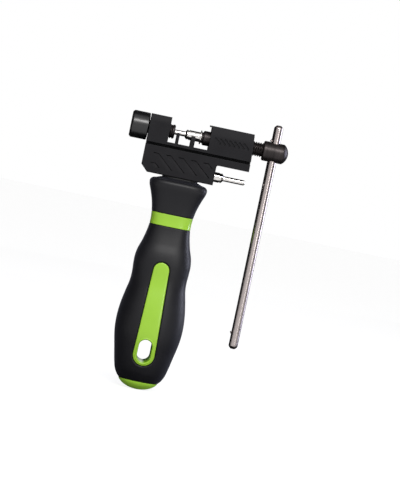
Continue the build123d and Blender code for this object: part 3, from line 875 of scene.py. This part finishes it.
def makeAnvil(s):
    low, high = boxOf("anvil_nose")
    tipRadius = high[2]
    shoulder, shank, hollow = high[0] - s["tipLength"], s["shank"], s["bore"]
    tip = turnedMesh("anvilTip", [
        (high[0] - 0.4, hollow, 0), (high[0], hollow + 0.35, 0.1), (high[0], tipRadius - 0.5, 0.12),
        (high[0] - 0.5, tipRadius, 0.12), (shoulder, tipRadius, 0.1), (shoulder, shank, 0.05),
        (low[0], shank, 0.1), (low[0], hollow, 0)], closed=True)
    finish("anvilTip", tip, "oxideSteel", "anvil_tip", "black_steel", "anvil_nose")
    screwLow, screwHigh = boxOf("anvil_screw")
    knobLow, knobHigh = boxOf("anvil_knob")
    thread = threadMesh("anvil", knobHigh[0] - 3, screwHigh[0], s["screwRadius"], "oxideSteel")
    deep, step, out, loose = screwHigh[0] - s["boreDepth"], low[0] - 0.3, screwHigh[0] + 1, shank + 0.05
    bore = turnedMesh("anvilBore", [
        (deep, 0, 0), (deep, hollow, 0), (step, hollow, 0), (step, loose, 0), (out, loose, 0), (out, 0, 0)],
        around=48)
    thread = cutMesh("anvilThread", thread, bore)
    finish("anvilScrew", thread, "oxideSteel", "anvil", "black_steel", "anvil_screw")
    radius, face, chamfer, back = knobHigh[2], knobLow[0], s["chamfer"], s["backChamfer"]
    hub = knobHigh[0] - s["hubLength"]
    knob = turnedMesh("anvilKnob", [
        (face + 0.35, 0, 0), (face + 0.35, 4.2, 0.2), (face, 4.6, 0.2), (face, radius - chamfer, 0.3),
        (face + chamfer, radius, 0.35), (hub - back, radius, 0.15), (hub, radius - back, 0.15),
        (hub, s["knobHub"], 0.1), (knobHigh[0], s["knobHub"], 0.2), (knobHigh[0], 0, 0)], around=128)
    finish("anvilKnob", knob, "knobBlack", "anvil", "black_knob", "anvil_knob")


makeAnvil(anvilSettings)
print("chain tool: anvil and knob turned")


# ---- grip: flattened rings down one curve, cut into rubber, band and cap
gripSettings = {
    "depth": 0.80,
    "around": 192,
    "step": 0.55,
    "skin": 2.3,
    "curve": [     # (share of the grip's length from its top, half width)
        (0.030, 15.9), (0.046, 15.6), (0.075, 14.3), (0.115, 12.75), (0.155, 11.75), (0.202, 11.2),
        (0.245, 11.6), (0.305, 13.15), (0.350, 14.85), (0.387, 15.55), (0.425, 15.5), (0.464, 15.25),
        (0.505, 15.5), (0.560, 16.8), (0.620, 18.0), (0.683, 18.55), (0.745, 18.15), (0.822, 16.45),
        (0.912, 14.15), (0.940, 12.6), (0.958, 10.9)],
    "squareTop": 3.5,         # roundness of the section: 2 is an ellipse, more is squarer
    "squareBottom": 2.25,
    "seamGap": 0.22,
}
gripTop = boxOf("grip_collar")[1][2]
gripBottom = boxOf("end_cap")[0][2]
gripLength = gripTop - gripBottom
bandLow, bandHigh = boxOf("accent_band")
seamHeight = boxOf("end_cap")[1][2]


def smoothValue(table, x):
    # cubic through a table of points, with slopes taken from the neighbours
    if x <= table[0][0]:
        return table[0][1]
    if x >= table[-1][0]:
        return table[-1][1]
    k = max(i for i in range(len(table) - 1) if table[i][0] <= x)
    (x0, y0), (x1, y1) = table[k], table[k + 1]

    def slope(i):
        before, after = table[max(i - 1, 0)], table[min(i + 1, len(table) - 1)]
        return (after[1] - before[1]) / (after[0] - before[0])

    t = (x - x0) / (x1 - x0)
    m0, m1 = slope(k) * (x1 - x0), slope(k + 1) * (x1 - x0)
    start = (2 * t**3 - 3 * t**2 + 1) * y0 + (t**3 - 2 * t**2 + t) * m0
    return start + (3 * t**2 - 2 * t**3) * y1 + (t**3 - t**2) * m1


def gripHalfWidth(height):
    return smoothValue(gripSettings["curve"], (gripTop - height) / gripLength)


def squareness(height):
    share = min(max((gripTop - height) / gripLength / 0.55, 0), 1)
    return gripSettings["squareTop"] + (gripSettings["squareBottom"] - gripSettings["squareTop"]) * share


def gripRing(height, halfWidth, inset=0.0):
    # one section of the grip: a squared-off ellipse
    power = 2 / squareness(height)
    wide, deep = halfWidth - inset, halfWidth * gripSettings["depth"] - inset
    ring = []
    for k in range(gripSettings["around"]):
        turn = 2 * pi * k / gripSettings["around"]
        c, s = cos(turn), sin(turn)
        x = wide * abs(c) ** power * (1 if c >= 0 else -1)
        y = deep * abs(s) ** power * (1 if s >= 0 else -1)
        ring.append((x, y, height))
    return ring


def gripFront(x, height, inset=0.0):
    # how far the grip's face stands from its middle plane at a place on it
    wide = gripHalfWidth(height) - inset
    deep = gripHalfWidth(height) * gripSettings["depth"] - inset
    square = squareness(height)
    return deep * max(1 - abs(x / wide) ** square, 0) ** (1 / square)


def heightsBetween(low, high, step):
    count = max(2, round((high - low) / step))
    return [low + (high - low) * k / count for k in range(count + 1)]


def shellRings(low, high, edge):
    # a skin between two heights, its ends rounded over by edge
    s = gripSettings
    ends = ((0.0, 1.0), (0.08, 0.62), (0.3, 0.26), (0.62, 0.06), (1.0, 0.0))
    levels = [(low + edge * a, edge * b) for a, b in ends]
    levels += [(h, 0.0) for h in heightsBetween(low + edge, high - edge, s["step"])[1:-1]]
    levels += [(high - edge * a, edge * b) for a, b in reversed(ends)]
    levels += [(h, s["skin"]) for h in reversed(heightsBetween(low, high, 4 * s["step"]))]
    return [gripRing(h, gripHalfWidth(h), inset) for h, inset in levels]


def makeBand():
    gap = gripSettings["seamGap"] / 2
    rings = shellRings(bandLow[2] + gap, bandHigh[2] - gap, 0.25)
    mesh = loftMesh("gripBand", rings, closed=True, angle=50)
    finish("gripBand", mesh, "limePlastic", "head", "green_plastic", "accent_band")


collarSettings = {"neck": 9.9, "shoulder": 13.9, "shoulderDrop": 1.4, "hole": 4.6, "edge": 0.25}


def makeCollar(s):
    # the flared rubber: a sloping top, a rounded rim, then the curve down to the band
    gap = gripSettings["seamGap"] / 2
    flare = gripTop - gripSettings["curve"][0][0] * gripLength
    flareWidth = gripSettings["curve"][0][1]
    low = bandHigh[2] + gap
    neck, shoulder, edge = s["neck"], s["shoulder"], s["edge"]
    top = [
        (s["hole"], gripTop - 0.3), (neck - 1, gripTop - 0.12), (neck, gripTop), (neck + 0.6, gripTop - 0.15),
        (shoulder - 1.6, gripTop - 0.85 * s["shoulderDrop"] + 0.35)]
    drop = gripTop - 0.8 * s["shoulderDrop"] - flare
    for k in range(9):
        lean = pi / 2 * k / 8
        width = shoulder - 0.6 + (flareWidth - shoulder + 0.6) * sin(lean)
        top.append((width, flare + drop * cos(lean)))
    rings = [gripRing(h, w) for w, h in top]
    levels = heightsBetween(low + edge, flare, gripSettings["step"])[:-1]
    rings += [gripRing(h, gripHalfWidth(h)) for h in reversed(levels)]
    ends = ((0.5, 0.12), (0.12, 0.5), (0.0, 1.0))
    rings += [gripRing(low + edge * a, gripHalfWidth(low), edge * b) for a, b in ends]
    rings += [gripRing(h, gripHalfWidth(h), gripSettings["skin"]) for h in heightsBetween(low, flare - 1, 2)]
    rings.append(gripRing(flare, s["hole"]))
    mesh = loftMesh("gripCollar", rings, closed=True, angle=50)
    finish("gripCollar", mesh, "gripRubber", "head", "black_rubber", "grip_collar")


def makeCap():
    gap = gripSettings["seamGap"] / 2
    top = seamHeight - gap
    width = gripSettings["curve"][-1][1]
    height = top - gripBottom
    ball = (width**2 + height**2) / (2 * height)
    spread = asin(width / ball)
    rings = [[(0, 0, gripBottom)] * gripSettings["around"]]
    for k in range(1, 25):
        # part ball, part ellipse: fuller at the heel than a ball
        lean = spread * k / 25
        rise = ball * (1 - cos(lean))
        full = width * (1 - (1 - rise / height) ** 2) ** 0.5
        rings.append(gripRing(gripBottom + rise, 0.6 * ball * sin(lean) + 0.4 * full))
    rings += [gripRing(top - 0.12, width - 0.12), gripRing(top, width - 0.4), gripRing(top, width / 2)]
    rings.append([(0, 0, top)] * gripSettings["around"])
    # the cap takes the lime plastic's copy that is painted lighter against the shade at the foot
    finish("gripEndCap", loftMesh("gripEndCap", rings, angle=50), "limeCapPaintedLight", "head", "green_plastic", "end_cap")


# ---- inlays: a long teardrop set in the rubber, front and back, with the hang hole at its foot
inlaySettings = {
    "topRadius": 4.3, "bottomRadius": 5.9, "around": 160, "gap": 0.3, "sink": 0.18, "deep": 1.7,
    "edgeRound": 0.35, "holeWidth": 7.3, "holeHeight": 12.6, "holeDrop": 1.7, "holeAround": 96, "rim": 1.15,
    "cutReach": 25,
}
inlayLow, inlayHigh = boxOf("front_inlay")
bottomCentre = inlayLow[2] + inlaySettings["bottomRadius"]
topCentre = inlayHigh[2] - inlaySettings["topRadius"]
holeCentre = inlayLow[2] + inlaySettings["holeDrop"] + inlaySettings["holeHeight"] / 2


def teardrop(grow, s=inlaySettings):
    # points round the teardrop, grown outwards; an equal share of them on each end and side
    low, high = s["bottomRadius"] + grow, s["topRadius"] + grow
    lean = asin((s["bottomRadius"] - s["topRadius"]) / (topCentre - bottomCentre))
    part = s["around"] // 4
    points = []
    for k in range(part):
        turn = lean + (pi - 2 * lean) * k / part
        points.append((high * cos(turn), topCentre + high * sin(turn)))
    start = (-high * cos(lean), topCentre + high * sin(lean))
    end = (-low * cos(lean), bottomCentre + low * sin(lean))
    across, down = end[0] - start[0], end[1] - start[1]
    points += [(start[0] + across * k / part, start[1] + down * k / part) for k in range(part)]
    for k in range(part):
        turn = pi - lean + (pi + 2 * lean) * k / part
        points.append((low * cos(turn), bottomCentre + low * sin(turn)))
    points += [(-end[0] + across * k / part, end[1] - down * k / part) for k in range(part)]
    return points


def slotOutline(grow, s=inlaySettings):
    # points round the hang hole, a slot with round ends, grown outwards
    radius = s["holeWidth"] / 2 + grow
    straight = (s["holeHeight"] - s["holeWidth"]) / 2
    points = []
    for k in range(s["holeAround"]):
        turn = 2 * pi * k / s["holeAround"]
        shift = straight if sin(turn) >= 0 else -straight
        points.append((radius * cos(turn), holeCentre + shift + radius * sin(turn)))
    return points


def faceRing(outline, side, offset):
    # an outline laid on the grip's face; side is -1 at the front, offset is how far above the face
    return [(x, side * (gripFront(x, z) + offset), z) for x, z in outline]


def outlineCutter(name, outlines, reach):
    # a cutter through the whole grip, its mouths flared by pairs of an outline and its depth below the face
    first, middle = outlines[0][0], (topCentre + bottomCentre) / 2
    rings = [[(0, -reach, middle)] * len(first), [(x, -reach, z) for x, z in first]]
    rings += [faceRing(outline, -1, -depth) for outline, depth in outlines]
    rings += [faceRing(outline, 1, -depth) for outline, depth in reversed(outlines)]
    rings += [[(x, reach, z) for x, z in first], [(0, reach, middle)] * len(first)]
    return loftMesh(name, rings)


def makeSleeve():
    gap = gripSettings["seamGap"] / 2
    rings = shellRings(seamHeight + gap, bandLow[2] - gap, 0.3)
    sleeve = loftMesh("gripSleeve", rings, closed=True, angle=50)
    flares = [(teardrop(inlaySettings["gap"] + grow), depth) for grow, depth in (
        (0.75, -0.14), (0.48, 0.0), (0.25, 0.16), (0.08, 0.42), (0.0, 0.8), (0.0, 5.0))]
    cutter = outlineCutter("inlayPocket", flares, inlaySettings["cutReach"])
    sleeve = cutMesh("gripSleeve", sleeve, cutter, angle=50)
    finish("gripSleeve", sleeve, "gripRubber", "head", "black_rubber", "grip_sleeve")


def makeInlay(name, side, node):
    s = inlaySettings
    outlines = [(-s["edgeRound"] * a, -s["sink"] - s["edgeRound"] * b) for a, b in
                ((0.0, 1.0), (0.08, 0.62), (0.3, 0.3), (0.62, 0.08), (1.0, 0.0))]
    outlines = [(0.0, -s["deep"])] + outlines
    rings = [faceRing(teardrop(grow), side, offset) for grow, offset in outlines]
    edge = teardrop(-s["edgeRound"])
    spine = [(0, min(max(z, bottomCentre), topCentre)) for x, z in edge]
    for share in (0.2, 0.4, 0.6, 0.8, 1.0):
        between = [(x + (sx - x) * share, z + (sz - z) * share) for (x, z), (sx, sz) in zip(edge, spine)]
        rings.append(faceRing(between, side, -s["sink"]))
    rings.insert(0, faceRing(spine, side, -s["deep"]))
    mesh = loftMesh(name, rings, angle=50)
    hole, reach = slotOutline(s["rim"] - 0.1), s["cutReach"]
    walls = [[(x, y, z) for x, z in hole] for y in (-reach, reach)]
    ends = [[(0, y, holeCentre)] * len(hole) for y in (-reach, reach)]
    mesh = cutMesh(name, mesh, loftMesh(name + "Hole", [ends[0]] + walls + [ends[1]]), angle=50)
    finish(name, mesh, "limePlastic", "head", "green_plastic", node)


def makeEyelet():
    # (how far out from the hole, how far above the grip's face), from the foot of the rim to the bore
    rim = inlaySettings["rim"]
    profile = [(rim, -1.4), (rim, -0.35), (rim - 0.1, -0.1), (rim - 0.32, 0.0), (rim * 0.5, 0.0),
               (0.25, -0.12), (0.06, -0.45), (0.0, -1.0)]
    rings = [faceRing(slotOutline(grow), -1, offset) for grow, offset in profile]
    rings += [[(x, y, z) for x, z in slotOutline(0)] for y in (-9, -3, 3, 9)]
    rings += [faceRing(slotOutline(grow), 1, offset) for grow, offset in reversed(profile)]
    mesh = loftMesh("hangEyelet", rings, closed=True, angle=50)
    finish("hangEyelet", mesh, "limePlastic", "head", "green_plastic", "hang_eyelet")


def makeNeck():
    low, high = boxOf("neck_washer")
    hole, edge, width = 4.4, 0.2, high[0]
    rings = [gripRing(h, w) for w, h in (
        (hole, low[2]), (width - edge, low[2]), (width, low[2] + edge), (width, high[2] - edge),
        (width - edge, high[2]), (hole, high[2]))]
    mesh = loftMesh("neckWasher", rings, closed=True)
    finish("neckWasher", mesh, "corePlastic", "head", "black_plastic", "neck_washer")


makeBand()
makeCollar(collarSettings)
makeCap()
makeSleeve()
makeInlay("frontInlay", -1, "front_inlay")
makeInlay("rearInlay", 1, "rear_inlay")
makeEyelet()
makeNeck()
print("chain tool: grip moulded")

# ---- pieces kept from the CAD model, hidden in the grip
keptNodes = {"handle_core": "corePlastic", "tang_stud": "brightSteel", "tang_insert": "turnedBrass"}
for node, finishName in keptNodes.items():
    slots = nodes[node].data.materials
    slots.clear()
    slots.append(finishes[finishName])

bpy.context.view_layer.update()
